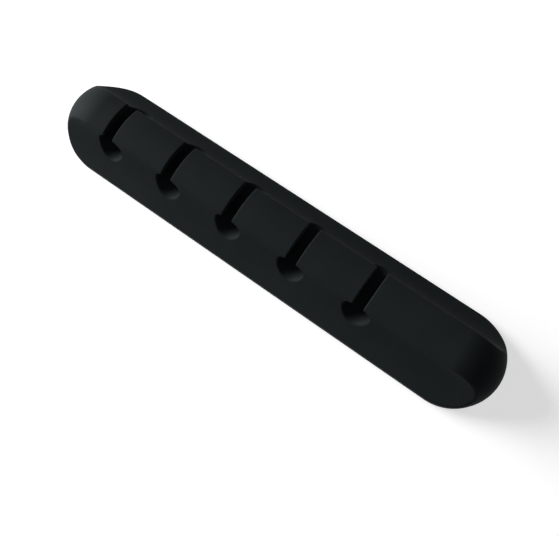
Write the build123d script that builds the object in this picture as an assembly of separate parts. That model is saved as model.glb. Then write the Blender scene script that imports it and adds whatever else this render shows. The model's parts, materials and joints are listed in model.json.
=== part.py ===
from build123d import *
from math import sqrt
import os

# A one-piece moulded bar that holds cables: flat underside, round ends, a half-round back that is cut away
# to a hollow flank on each side, and a row of keyhole slots across it.
# X runs along the bar, Y across it and Z up. The origin is the middle of the underside.

# Bar: upright wall round the foot, and above it a half round as wide as the foot, turned round at both ends
base_length = 106.0
base_width = 20.0
wall_height = 2.0

# Flanks: each is one hollow arc from the rim up to the side of the top strip
rim_height = 2.2
strip_width = 8.6
flank_hollow = 1.9
flank_edge_radius = 0.5

# Cable slots: a round bore with a narrow neck that opens into it just below the side of the strip
slot_count = 5
slot_pitch = 15.35
slot_margin = 15.05
slot_width = 2.4
neck_depth = 0.5
bore_diameter = 6.0
lip_radius = 0.25

# How far the cutting shapes run past the bar, and what counts as touching
overrun = 2.0
touching = 0.001

# Sizes that follow from these
ridge_height = wall_height + base_width / 2
strip_side_height = wall_height + sqrt((base_width / 2) ** 2 - (strip_width / 2) ** 2)
neck_foot_height = strip_side_height - neck_depth
bore_height = neck_foot_height - sqrt((bore_diameter / 2) ** 2 - (slot_width / 2) ** 2)


def round_backed_bar():
    """Stadium-shaped slab that carries half of a round-ended rod."""
    plan = SlotOverall(base_length, base_width)
    back_half = plan & Pos(0, base_width / 2) * Rectangle(base_length, base_width)
    back = revolve(back_half, Axis.X, 180)
    return extrude(plan, wall_height) + Pos(0, 0, wall_height) * back


def flank_cutter():
    """What lies outside the hollow arc of the +Y flank, run along X."""
    rim_side = Vector(0, base_width / 2, rim_height)
    strip_side = Vector(0, strip_width / 2, ridge_height)
    outer_top = Vector(0, base_width / 2 + overrun, ridge_height)
    outer_foot = Vector(0, base_width / 2 + overrun, rim_height)
    chord = strip_side - rim_side
    inward = Vector(0, -chord.Z, chord.Y).normalized()
    deepest = (rim_side + strip_side) / 2 + inward * flank_hollow
    outline = [
        ThreePointArc(rim_side, deepest, strip_side),
        Line(strip_side, outer_top),
        Line(outer_top, outer_foot),
        Line(outer_foot, rim_side),
    ]
    return extrude(make_face(Wire(outline)), base_length / 2, both=True, dir=(1, 0, 0))


def solid_bar():
    """The bar before its slots are cut, with the edge round each flank softened."""
    cutter = flank_cutter()
    bar = round_backed_bar() - cutter - mirror(cutter, about=Plane.XZ)
    flanks = bar.faces().filter_by(lambda face: face.is_circular_concave)
    return fillet(flanks.edges(), flank_edge_radius)


def keyhole():
    """Bore right across the bar with its neck open at the top, centred on x = 0."""
    neck_height = ridge_height + overrun - bore_height
    bore = Plane.XZ * Circle(bore_diameter / 2)
    neck = Plane.XZ * Pos(0, neck_height / 2) * Rectangle(slot_width, neck_height)
    return Pos(0, 0, bore_height) * extrude(bore + neck, base_width, both=True)


def organizer_body():
    """The whole moulding, with the lips of every neck rounded."""
    body = solid_bar()
    slot_places = [slot_margin - base_length / 2 + slot_pitch * k for k in range(slot_count)]
    for place in slot_places:
        body -= Pos(place, 0, 0) * keyhole()

    def is_lip(edge):
        from_slot = min(abs(edge.position_at(0.5).X - place) for place in slot_places)
        on_neck = abs(from_slot - slot_width / 2) < touching
        return on_neck and edge.geom_type != GeomType.LINE

    return fillet(body.edges().filter_by(is_lip), lip_radius)


os.makedirs("parts", exist_ok=True)
body = organizer_body()
export_step(body, "parts/organizer_body.step")
print("organizer_body", round(body.volume, 1), "mm3")
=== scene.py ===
import json
from math import atan2, cos, hypot, pi, radians, sin

import bmesh
import bpy
import numpy as np
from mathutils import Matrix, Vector
from mathutils.geometry import delaunay_2d_cdt


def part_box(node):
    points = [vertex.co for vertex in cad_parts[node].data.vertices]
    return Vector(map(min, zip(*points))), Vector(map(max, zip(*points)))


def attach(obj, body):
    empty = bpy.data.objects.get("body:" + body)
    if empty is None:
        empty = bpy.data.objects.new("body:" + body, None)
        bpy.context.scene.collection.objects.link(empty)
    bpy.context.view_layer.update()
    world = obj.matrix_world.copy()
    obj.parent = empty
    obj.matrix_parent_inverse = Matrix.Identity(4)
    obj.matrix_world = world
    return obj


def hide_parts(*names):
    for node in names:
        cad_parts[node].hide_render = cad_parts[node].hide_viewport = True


# Looks of a black silicone cable organizer, a one-piece bar with five keyhole slots across it.
# X runs along the bar, Y across it and Z up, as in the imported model.
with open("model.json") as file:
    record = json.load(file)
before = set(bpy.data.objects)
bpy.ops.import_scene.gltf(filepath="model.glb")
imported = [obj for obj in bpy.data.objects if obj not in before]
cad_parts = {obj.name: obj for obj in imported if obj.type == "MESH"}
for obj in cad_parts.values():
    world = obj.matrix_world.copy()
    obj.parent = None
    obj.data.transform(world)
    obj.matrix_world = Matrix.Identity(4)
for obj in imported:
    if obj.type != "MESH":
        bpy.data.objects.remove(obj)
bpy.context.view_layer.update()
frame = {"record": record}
MM = 0.001

# Camera, fitted to the outline, the slots and the bore mouths in the photograph
CAMERA_PLACE = (33.512 * MM, -27.945 * MM, 132.168 * MM)
CAMERA_TURN = (15.1225, 4.1544, 35.7895)
CAMERA_LENS = 42.764
SENSOR_WIDTH = 36.0
NEAR_CLIP = 0.01

# Moulding, in millimetres: its length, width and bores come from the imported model, and the other sizes
# are the part's own
BAR_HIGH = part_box("organizer_body")[1]
CLAMPS = [mount for mount in frame["record"]["mounts"] if mount["kind"] == "clamp"]
BORE_PLACES = [mount["pos_m"][0] / MM for mount in CLAMPS]
BORE_HEIGHT = CLAMPS[0]["pos_m"][2] / MM
BORE_RADIUS = CLAMPS[0]["dims"]["r_mm"]
HALF_LENGTH = BAR_HIGH[0] / MM
HALF_WIDTH = BAR_HIGH[1] / MM
WALL_HEIGHT = 2.0
RIM_HEIGHT = 2.2
STRIP_WIDTH = 8.6
FLANK_HOLLOW = 1.9
NECK_WIDTH = 2.4

# Roundings of the flanks' edges, the foot, the slots' lips and the corners inside the slots. The first
# gives the part's radius of about 0.5, since the faces there don't meet at right angles.
FLANK_ROUND = 0.30
FOOT_ROUND = 0.20
LIP_ROUND = 0.25
CORNER_ROUND = 0.25

# Fineness of the mesh: rows along the section, columns round the ends and on the spans, rings on a lip.
# The gaps say how close points are joined, flat and in space, and the band how near a keyhole is its wall.
ROW_STEP = 0.32
ROW_TURN = radians(8)
SECTION_SAMPLES = 4000
END_COLUMNS = 84
SPAN_STEP = 3.0
RING_STEPS = 5
COARSE_TURN = radians(3)
FINE_TURN = radians(0.75)
FINE_REACH = radians(7)
HALVINGS = 48
SLOPE_STEP = 0.0002
FLAT_GAP = SLOPE_STEP ** 2
JOIN_GAP = 0.0004
WALL_BAND = 0.006

# Sizes that follow from these
HALF_STRAIGHT = HALF_LENGTH - HALF_WIDTH
RIDGE_HEIGHT = WALL_HEIGHT + HALF_WIDTH
CELL_REACH = HALF_STRAIGHT + min(BORE_PLACES)
SECTION_HUB = (WALL_HEIGHT + BORE_HEIGHT) / 3
LONGEST_RAY = 2 * HALF_WIDTH
FLANK_CHORD = hypot(HALF_WIDTH - STRIP_WIDTH / 2, RIDGE_HEIGHT - RIM_HEIGHT)
FLANK_RADIUS = (FLANK_CHORD ** 2 / 4 + FLANK_HOLLOW ** 2) / (2 * FLANK_HOLLOW)
FLANK_LEAN = (FLANK_RADIUS - FLANK_HOLLOW) / FLANK_CHORD
FLANK_Y = (HALF_WIDTH + STRIP_WIDTH / 2) / 2 + FLANK_LEAN * (RIDGE_HEIGHT - RIM_HEIGHT)
FLANK_Z = (RIM_HEIGHT + RIDGE_HEIGHT) / 2 + FLANK_LEAN * (HALF_WIDTH - STRIP_WIDTH / 2)
NECK_ANGLE = pi / 2 - np.arcsin(NECK_WIDTH / 2 / BORE_RADIUS)

# Silicone: two tones of nearly neutral black in soft clouds, under the fine grain of the mould
SILICONE_DARK = (0.0110, 0.0136, 0.0144, 1.0)
SILICONE_LIGHT = (0.0127, 0.0157, 0.0166, 1.0)
SILICONE_IOR = 1.41
SILICONE_GLOSS_LEVEL = 0.02
CLOUD_SCALE = 140.0
CLOUD_DETAIL = 3.0
GRAIN_SCALE = 5200.0
GRAIN_DETAIL = 2.0
NOISE_SPAN = (0.3, 0.7)
ROUGHNESS_RANGE = (0.54, 0.66)
GRAIN_STRENGTH = 0.10
GRAIN_DEPTH = 0.02 * MM

# Floor, which fades into the white of the room, and the room's own dim light
FLOOR_RADIUS = 0.8
FLOOR_SIDES = 96
FLOOR_GAP = 0.01 * MM
FADE_START = 0.12
FADE_END = 0.40
FLOOR_COLOUR = (0.50, 0.50, 0.50, 1.0)
FLOOR_LIFT = 0.62
ROOM_LIGHT = 0.02

# Lamps: name, azimuth from +X towards +Y and height in degrees, distance and width in metres, watts
LAMPS = [
    ("key", 186.0, 20.0, 0.8, 0.55, 17.0),
    ("near_fill", 270.0, 70.0, 2.4, 1.6, 4.5),
    ("far_fill", 45.0, 60.0, 2.4, 1.6, 2.0),
]


def rounded(a, b, radius):
    """Level of what two forms share, with the edge between them rounded. A level is negative inside."""
    past = np.hypot(np.maximum(a + radius, 0), np.maximum(b + radius, 0))
    return np.minimum(np.maximum(a, b), -radius) + past


def bar_level(x, y, z):
    """Level of the bar without its slots: half-round back, a hollow flank on each side and flat foot."""
    past_end = np.maximum(np.abs(x) - HALF_STRAIGHT, 0)
    back = np.sqrt(past_end ** 2 + y ** 2 + np.maximum(z - WALL_HEIGHT, 0) ** 2) - HALF_WIDTH
    flank = FLANK_RADIUS - np.hypot(np.abs(y) - FLANK_Y, z - FLANK_Z)
    return rounded(rounded(back, flank, FLANK_ROUND), -z, FOOT_ROUND)


def slot_level(x, z):
    """Level of what lies outside a keyhole that is centred on x = 0."""
    from_bore = np.hypot(x, z - BORE_HEIGHT)
    from_neck = np.where(z > BORE_HEIGHT, np.abs(x), from_bore)
    return rounded(BORE_RADIUS - from_bore, NECK_WIDTH / 2 - from_neck, CORNER_ROUND)


def body_level(x, y, z):
    """Level of the whole moulding."""
    from_slot = np.min([np.abs(x - place) for place in BORE_PLACES], axis=0)
    return rounded(bar_level(x, y, z), slot_level(from_slot, z), LIP_ROUND)


def crossing(level, high):
    """Where a rising level passes zero between nought and high, by halving."""
    low = 0.0
    for _ in range(HALVINGS):
        middle = (low + high) / 2
        outside = level(middle) > 0
        high = np.where(outside, middle, high)
        low = np.where(outside, low, middle)
    return (low + high) / 2


def normals_of(level, *place):
    """Unit slopes of a level at some places, given as one array for each coordinate."""
    slopes = []
    for k, values in enumerate(place):
        ahead = place[:k] + (values + SLOPE_STEP,) + place[k + 1:]
        behind = place[:k] + (values - SLOPE_STEP,) + place[k + 1:]
        slopes.append(level(*ahead) - level(*behind))
    slopes = np.stack(slopes, axis=-1)
    return slopes / np.linalg.norm(slopes, axis=-1, keepdims=True)


def half_section():
    """The +Y half of the section, from the foot to the ridge: distance along it, y, z and normal."""
    turn = np.linspace(atan2(-SECTION_HUB, HALF_WIDTH - FOOT_ROUND), pi / 2, SECTION_SAMPLES)
    across, up = np.cos(turn), np.sin(turn)
    size = crossing(lambda r: bar_level(0, r * across, SECTION_HUB + r * up), LONGEST_RAY)
    y, z = size * across, np.maximum(SECTION_HUB + size * up, 0)
    y[-1] = 0
    normals = normals_of(lambda y, z: bar_level(0 * y, y, z), y, z)
    normals[0], normals[-1] = (0, -1), (0, 1)
    along = np.concatenate([[0], np.cumsum(np.hypot(np.diff(y), np.diff(z)))])
    return along, y, z, normals


ALONG, SECTION_Y, SECTION_Z, SECTION_NORMALS = half_section()


def on_section(along):
    """y, z and the two parts of the normal at some distances along the half section."""
    return [np.interp(along, ALONG, values) for values in (SECTION_Y, SECTION_Z, *SECTION_NORMALS.T)]


def section_rows():
    """Distances along the half section, closer together where it turns."""
    turned = np.abs(np.diff(np.unwrap(np.arctan2(SECTION_NORMALS[:, 1], SECTION_NORMALS[:, 0]))))
    pace = np.concatenate([[0], np.cumsum(np.diff(ALONG) / ROW_STEP + turned / ROW_TURN)])
    return np.interp(np.linspace(0, pace[-1], int(pace[-1]) + 2), pace, ALONG)


def keyhole_ring(roll):
    """One line round a keyhole, in x and distance along the section, where its lip has turned by roll."""
    beside = LIP_ROUND * (1 - sin(roll))
    sunk = LIP_ROUND * (1 - cos(roll))
    coarse = np.arange(-pi / 2, NECK_ANGLE - FINE_REACH, COARSE_TURN)
    fine = np.arange(NECK_ANGLE - FINE_REACH, NECK_ANGLE + FINE_REACH, FINE_TURN)
    turn = np.concatenate([coarse, fine])
    across, up = np.cos(turn), np.sin(turn)
    size = crossing(lambda r: -slot_level(r * across, BORE_HEIGHT + r * up) - beside, LONGEST_RAY)
    x, z = size * across, BORE_HEIGHT + size * up
    x[0] = 0
    flank = SECTION_Z > WALL_HEIGHT
    flank_heights = (SECTION_Z - sunk * SECTION_NORMALS[:, 1])[flank]
    below_ridge = z < RIDGE_HEIGHT - LIP_ROUND
    right = list(zip(x[below_ridge], np.interp(z[below_ridge], flank_heights, ALONG[flank])))
    right.append((NECK_WIDTH / 2 + beside, ALONG[-1]))
    left = [(-x, along) for x, along in reversed(right[1:])]
    return np.array(left + right)


def inside_outline(points, outline):
    """Which points lie inside a closed outline, by counting its sides beyond each point."""
    inside = np.zeros(len(points), bool)
    for start, end in zip(outline, np.roll(outline, -1, axis=0)):
        if start[1] != end[1]:
            passes = (start[1] > points[:, 1]) != (end[1] > points[:, 1])
            share = (points[:, 1] - start[1]) / (end[1] - start[1])
            inside ^= passes & (points[:, 0] < start[0] + share * (end[0] - start[0]))
    return inside


def slot_cell(rows):
    """Surface round one slot, centred on x = 0: triangles between the rows and the rings of the lip."""
    rolls = np.linspace(pi / 2, 0, RING_STEPS + 1)
    rings = [keyhole_ring(roll) for roll in rolls]
    lines = [[(-CELL_REACH, row), (CELL_REACH, row)] for row in rows]
    lines += [[(side, row) for row in rows] for side in (-CELL_REACH, CELL_REACH)]
    corners, edges = [], []
    for line in lines + rings:
        edges += [(len(corners) + k, len(corners) + k + 1) for k in range(len(line) - 1)]
        corners += [Vector((float(x), float(along))) for x, along in line]
    flat, _, faces = delaunay_2d_cdt(corners, edges, [], 0, FLAT_GAP)[:3]
    flat = np.array([tuple(corner) for corner in flat])
    middles = np.array([flat[list(face)].mean(axis=0) for face in faces])
    faces = [tuple(face) for face, gone in zip(faces, inside_outline(middles, rings[0])) if not gone]

    x, (y, z, normal_y, normal_z) = flat[:, 0], on_section(flat[:, 1])

    def level_above(sunk):
        """How far the points lie inside the moulding once they are sunk along the normals."""
        place_y, place_z = y - sunk * normal_y, z - sunk * normal_z
        return -rounded(bar_level(0 * x, place_y, place_z), slot_level(x, place_z), LIP_ROUND)

    on_lip = slot_level(x, z) > -LIP_ROUND
    sunk = np.where(on_lip, crossing(level_above, LIP_ROUND), 0)
    return np.stack([x, y - sunk * normal_y, z - sunk * normal_z], axis=1), faces


def plain_span(rows, low, high):
    """Grid of points on the straight surface between two slots."""
    y, z, _, _ = on_section(rows)
    columns = np.linspace(low, high, 1 + max(1, round((high - low) / SPAN_STEP)))
    return np.array([[(x, *place) for x in columns] for place in zip(y, z)])


def round_end(rows):
    """Grid of points on the +X end, where each row runs on over the half ball to the tip."""
    lean = np.linspace(0, pi / 2, END_COLUMNS + 1)
    forward, sideways = np.sin(lean), np.cos(lean)
    sideways[-1] = 0
    y, z, _, _ = on_section(rows)
    grid = []
    for row_y, row_z in zip(y, z):
        hub = min(row_z, WALL_HEIGHT)
        across, up = np.array([row_y, row_z - hub]) / hypot(row_y, row_z - hub)

        def place(size):
            """Points on the rays of this row, at some sizes."""
            return HALF_STRAIGHT + size * forward, size * sideways * across, hub + size * sideways * up

        size = crossing(lambda r: bar_level(*place(r)), LONGEST_RAY)
        grid.append(np.stack(place(size), axis=1))
    return np.array(grid)


def half_surface():
    """Points and faces of the +Y half of the moulding's outside, the foot's flat left open."""
    points, faces = [], []

    def add(places, corners):
        """Add points, and faces between them."""
        faces.extend(tuple(len(points) + k for k in face) for face in corners)
        points.extend(places)

    def add_grid(grid):
        """Add a grid of points, with a quad in each mesh of it."""
        m, n = grid.shape[:2]
        starts = [i * n + j for i in range(m - 1) for j in range(n - 1)]
        add(grid.reshape(-1, 3), [(k, k + 1, k + n + 1, k + n) for k in starts])

    rows = section_rows()
    cell, cell_faces = slot_cell(rows)
    for place in BORE_PLACES:
        add(cell + (place, 0, 0), cell_faces)
    starts = [place + CELL_REACH for place in BORE_PLACES]
    ends = [place - CELL_REACH for place in BORE_PLACES[1:]] + [HALF_STRAIGHT]
    for low, high in zip(starts, ends):
        add_grid(plain_span(rows, low, high))
    end = round_end(rows)
    add_grid(end)
    add_grid(end * (-1, 1, 1))
    return points, faces


def moulding_normals(places):
    """Exact normals of the moulding at some points, on the walls of the slots from the keyhole alone."""
    normals = normals_of(body_level, *places.T)
    x, _, z = places.T
    nearest = np.array(BORE_PLACES)[np.abs(x[:, None] - BORE_PLACES).argmin(axis=1)]
    on_wall = slot_level(x - nearest, z) > -WALL_BAND
    across, up = normals_of(slot_level, (x - nearest)[on_wall], z[on_wall]).T
    normals[on_wall] = np.stack([across, 0 * across, up], axis=1)
    return normals


def moulding_mesh():
    """The closed moulding: both halves, the walls of the slots and the flat of the foot between them."""
    points, faces = half_surface()
    mesh = bpy.data.meshes.new("organizer_moulding")
    mesh.from_pydata([tuple(float(v) for v in point) for point in points], [], faces)
    shell = bmesh.new()
    shell.from_mesh(mesh)
    bmesh.ops.remove_doubles(shell, verts=shell.verts, dist=JOIN_GAP)
    originals = shell.verts[:]
    rims = [edge.verts[:] for edge in shell.edges if edge.is_boundary]
    twins = bmesh.ops.duplicate(shell, geom=originals + shell.edges[:] + shell.faces[:])["vert_map"]
    for vert in originals:
        twins[vert].co.y = -vert.co.y
    for a, b in rims:
        if max(a.co.y, b.co.y) > JOIN_GAP:
            shell.faces.new((a, b, twins[b], twins[a]))
    bmesh.ops.remove_doubles(shell, verts=shell.verts, dist=JOIN_GAP)
    bmesh.ops.recalc_face_normals(shell, faces=shell.faces)
    shell.to_mesh(mesh)
    shell.free()

    places = np.array([vert.co for vert in mesh.vertices])
    normals = moulding_normals(places)
    mesh.vertices.foreach_set("co", (places * MM).ravel())
    mesh.shade_smooth()
    mesh.normals_split_custom_set_from_vertices(normals.tolist())
    return mesh


def node_tree(datablock):
    """The empty node tree of a material or a world."""
    datablock.use_nodes = True
    datablock.node_tree.nodes.clear()
    return datablock.node_tree


def noise(tree, coordinates, scale, detail):
    """Noise in object space, as its factor output."""
    texture = tree.nodes.new("ShaderNodeTexNoise")
    texture.inputs["Scale"].default_value = scale
    texture.inputs["Detail"].default_value = detail
    tree.links.new(coordinates.outputs["Object"], texture.inputs["Vector"])
    return texture.outputs["Fac"]


def silicone():
    """Satin black silicone with the fine grain of its mould."""
    material = bpy.data.materials.new("silicone_satin_black")
    tree = node_tree(material)
    output = tree.nodes.new("ShaderNodeOutputMaterial")
    coordinates = tree.nodes.new("ShaderNodeTexCoord")
    shader = tree.nodes.new("ShaderNodeBsdfPrincipled")
    shader.inputs["IOR"].default_value = SILICONE_IOR
    shader.inputs["Specular IOR Level"].default_value = SILICONE_GLOSS_LEVEL

    clouds = noise(tree, coordinates, CLOUD_SCALE, CLOUD_DETAIL)
    grain = noise(tree, coordinates, GRAIN_SCALE, GRAIN_DETAIL)

    tint = tree.nodes.new("ShaderNodeValToRGB")
    for stop, place, colour in zip(tint.color_ramp.elements, NOISE_SPAN, (SILICONE_DARK, SILICONE_LIGHT)):
        stop.position = place
        stop.color = colour
    tree.links.new(clouds, tint.inputs["Fac"])
    tree.links.new(tint.outputs["Color"], shader.inputs["Base Color"])

    gloss = tree.nodes.new("ShaderNodeMapRange")
    gloss.inputs["From Min"].default_value, gloss.inputs["From Max"].default_value = NOISE_SPAN
    gloss.inputs["To Min"].default_value, gloss.inputs["To Max"].default_value = ROUGHNESS_RANGE
    tree.links.new(grain, gloss.inputs["Value"])
    tree.links.new(gloss.outputs["Result"], shader.inputs["Roughness"])

    bump = tree.nodes.new("ShaderNodeBump")
    bump.inputs["Strength"].default_value = GRAIN_STRENGTH
    bump.inputs["Distance"].default_value = GRAIN_DEPTH
    tree.links.new(grain, bump.inputs["Height"])
    tree.links.new(bump.outputs["Normal"], shader.inputs["Normal"])

    tree.links.new(shader.outputs["BSDF"], output.inputs["Surface"])
    return material


def looking_ray(tree, unseen, seen):
    """The value seen where the camera, a gloss or a clear body looks, and unseen for light that bounces."""
    path = tree.nodes.new("ShaderNodeLightPath")
    looks = path.outputs["Is Camera Ray"]
    for kind in ("Is Glossy Ray", "Is Transmission Ray"):
        either = tree.nodes.new("ShaderNodeMath")
        either.operation = "MAXIMUM"
        tree.links.new(looks, either.inputs[0])
        tree.links.new(path.outputs[kind], either.inputs[1])
        looks = either.outputs["Value"]
    level = tree.nodes.new("ShaderNodeMapRange")
    level.inputs["To Min"].default_value = unseen
    level.inputs["To Max"].default_value = seen
    tree.links.new(looks, level.inputs["Value"])
    return level.outputs["Result"]


def fade_outwards(tree):
    """Factor that rises from zero near the bar to one towards the floor's rim."""
    coordinates = tree.nodes.new("ShaderNodeTexCoord")
    reach = tree.nodes.new("ShaderNodeVectorMath")
    reach.operation = "LENGTH"
    tree.links.new(coordinates.outputs["Object"], reach.inputs[0])
    fade = tree.nodes.new("ShaderNodeMapRange")
    fade.interpolation_type = "SMOOTHSTEP"
    fade.inputs["From Min"].default_value = FADE_START
    fade.inputs["From Max"].default_value = FADE_END
    tree.links.new(reach.outputs["Value"], fade.inputs["Value"])
    return fade.outputs["Result"]


def pale_floor():
    """Floor that renders white, keeps a soft shadow round the bar and fades into the room."""
    material = bpy.data.materials.new("pale_floor")
    tree = node_tree(material)
    output = tree.nodes.new("ShaderNodeOutputMaterial")
    paint = tree.nodes.new("ShaderNodeBsdfDiffuse")
    paint.inputs["Color"].default_value = FLOOR_COLOUR
    lift = tree.nodes.new("ShaderNodeEmission")
    tree.links.new(looking_ray(tree, 0.0, FLOOR_LIFT), lift.inputs["Strength"])
    lit = tree.nodes.new("ShaderNodeAddShader")
    tree.links.new(paint.outputs["BSDF"], lit.inputs[0])
    tree.links.new(lift.outputs["Emission"], lit.inputs[1])
    white = tree.nodes.new("ShaderNodeEmission")
    tree.links.new(looking_ray(tree, ROOM_LIGHT, 1.0), white.inputs["Strength"])
    both = tree.nodes.new("ShaderNodeMixShader")
    tree.links.new(fade_outwards(tree), both.inputs["Fac"])
    tree.links.new(lit.outputs["Shader"], both.inputs[1])
    tree.links.new(white.outputs["Emission"], both.inputs[2])
    tree.links.new(both.outputs["Shader"], output.inputs["Surface"])

    disc = bmesh.new()
    bmesh.ops.create_circle(disc, cap_ends=True, radius=FLOOR_RADIUS, segments=FLOOR_SIDES)
    bmesh.ops.translate(disc, verts=disc.verts, vec=(0, 0, -FLOOR_GAP))
    mesh = bpy.data.meshes.new("floor")
    disc.to_mesh(mesh)
    disc.free()
    mesh.materials.append(material)
    floor = bpy.data.objects.new("floor", mesh)
    bpy.context.scene.collection.objects.link(floor)


def room():
    """World that looks white and gives a dim even light."""
    world = bpy.data.worlds.new("room")
    tree = node_tree(world)
    output = tree.nodes.new("ShaderNodeOutputWorld")
    background = tree.nodes.new("ShaderNodeBackground")
    background.inputs["Color"].default_value = (1.0, 1.0, 1.0, 1.0)
    tree.links.new(looking_ray(tree, ROOM_LIGHT, 1.0), background.inputs["Strength"])
    tree.links.new(background.outputs["Background"], output.inputs["Surface"])
    bpy.context.scene.world = world


def direction(azimuth, height):
    """Unit vector at an azimuth from +X towards +Y and a height above the floor, both in degrees."""
    across, up = radians(azimuth), radians(height)
    return Vector((cos(across) * cos(up), sin(across) * cos(up), sin(up)))


def lamps():
    """Large soft lamps, each turned to the middle of the bar."""
    for name, azimuth, height, distance, width, power in LAMPS:
        light = bpy.data.lights.new(name, "AREA")
        light.shape = "DISK"
        light.size = width
        light.energy = power
        lamp = bpy.data.objects.new(name, light)
        lamp.location = direction(azimuth, height) * distance
        lamp.rotation_euler = lamp.location.to_track_quat("Z", "Y").to_euler()
        bpy.context.scene.collection.objects.link(lamp)


def camera():
    """Camera at the photograph's place and angle."""
    data = bpy.data.cameras.new("camera")
    data.sensor_width = SENSOR_WIDTH
    data.lens = CAMERA_LENS
    data.clip_start = NEAR_CLIP
    eye = bpy.data.objects.new("camera", data)
    eye.location = CAMERA_PLACE
    eye.rotation_euler = [radians(turn) for turn in CAMERA_TURN]
    bpy.context.scene.collection.objects.link(eye)
    bpy.context.scene.camera = eye


body = bpy.data.objects.new("organizer_moulding", moulding_mesh())
body.data.materials.append(silicone())
bpy.context.scene.collection.objects.link(body)
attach(body, "root")
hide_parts("organizer_body")

pale_floor()
room()
lamps()
camera()
bpy.context.scene.view_settings.view_transform = "Standard"
